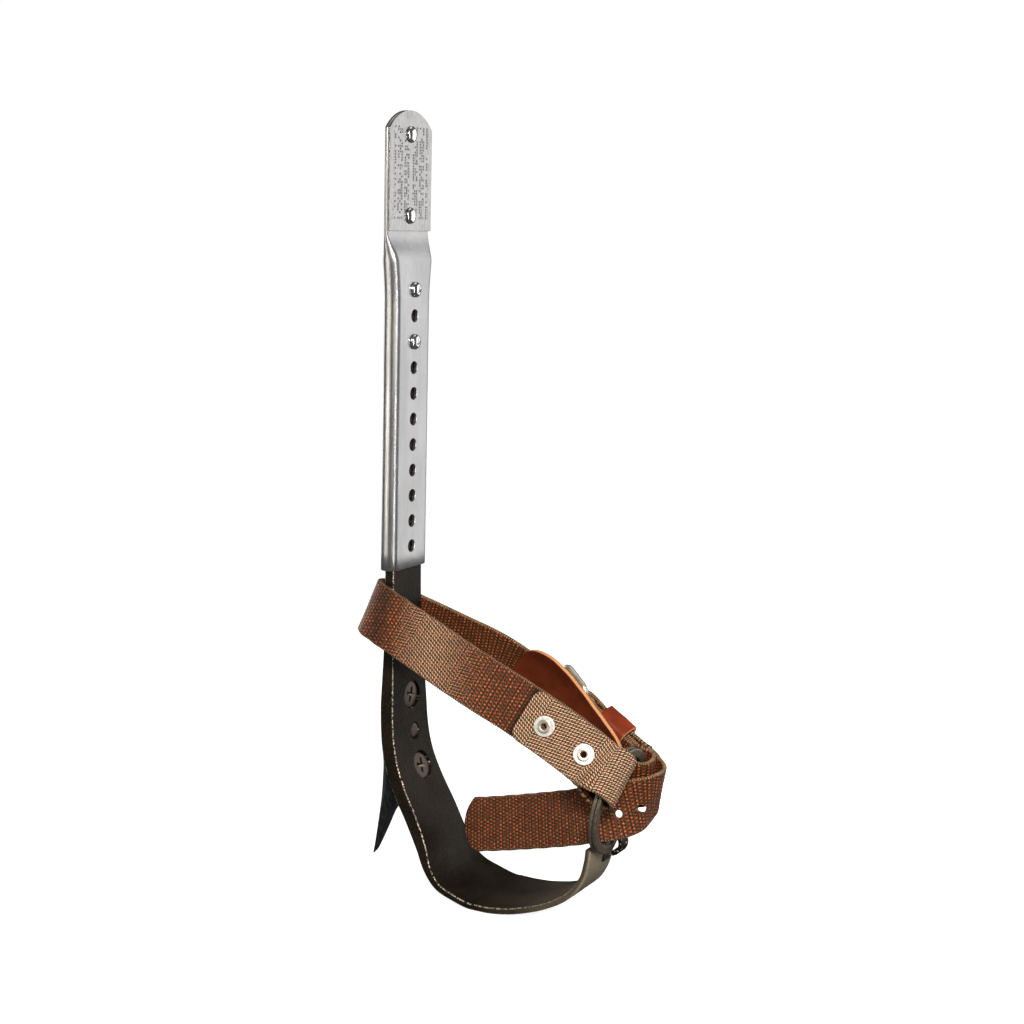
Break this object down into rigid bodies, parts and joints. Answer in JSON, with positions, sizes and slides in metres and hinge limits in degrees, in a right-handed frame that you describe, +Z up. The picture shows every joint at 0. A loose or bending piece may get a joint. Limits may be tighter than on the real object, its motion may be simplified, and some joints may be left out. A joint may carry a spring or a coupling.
{
  "type": "tree climbing spur",
  "caption": "Pole and tree climbing spur: bent leg iron with a bolted gaff, hole-adjusted height sleeve, split ring on the stirrup arm, and a webbing ankle strap with roller buckle.",
  "frame": {"origin": "middle of the flat top of the foot rest, where the boot sole stands", "axes": "+Z up along the shank, +X from the leg shank towards the ring arm, +Y along the boot, away from the strap's front flap"},
  "size_m": [0.1588, 0.0719, 0.3846],
  "materials": {
    "black_iron": "worn textured black coating",
    "gaff_steel": "dark forged and ground steel",
    "dark_fastener": "dark oxide",
    "satin_aluminium": "satin",
    "bright_plate": "bright plated",
    "ring_steel": "dull zinc",
    "nickel": "nickel plated",
    "webbing": "woven nylon",
    "leather": "smooth red-brown, raw edges"
  },
  "bodies": {
    "frame": {"leg_iron": "black_iron", "gaff": "gaff_steel", "gaff_screw_upper": "dark_fastener", "gaff_screw_lower": "dark_fastener", "gaff_dowel": "dark_fastener", "sleeve_screw_upper": "bright_plate", "sleeve_screw_lower": "bright_plate", "ankle_strap": "webbing", "strap_washer_1": "bright_plate", "strap_washer_2": "bright_plate", "strap_rivet_1": "bright_plate", "strap_rivet_2": "bright_plate", "buckle_frame": "nickel", "buckle_strap": "webbing", "leather_pad": "leather", "buckle_rivet_1": "nickel", "buckle_rivet_2": "nickel", "leather_keeper": "leather"},
    "sleeve": {"sleeve": "satin_aluminium", "tag_plate": "bright_plate", "tag_rivet_lower": "bright_plate", "tag_rivet_upper": "bright_plate"},
    "ring": {"split_ring": "ring_steel"},
    "tongue": {"buckle_tongue": "nickel"},
    "roller": {"buckle_roller": "nickel"}
  },
  "joints": [
    {"name": "sleeve_slide", "type": "slide", "parent": "frame", "child": "sleeve", "axis": [0, 0, 1], "range_m": [0, 0.0762]},
    {"name": "ring_turn", "type": "hinge", "parent": "frame", "child": "ring", "pos_m": [0.06176, 0, 0.05766], "axis": [0.9839, 0, -0.1788], "continuous": true},
    {"name": "tongue_lift", "type": "hinge", "parent": "frame", "child": "tongue", "pos_m": [0.0234, 0.0271, 0.0876], "axis": [-0.5008, 0.2499, -0.8287], "range_deg": [0, 8]},
    {"name": "roller_spin", "type": "hinge", "parent": "frame", "child": "roller", "pos_m": [0.00974, 0.03223, 0.09741], "axis": [0.5008, -0.2499, 0.8287], "continuous": true}
  ]
}
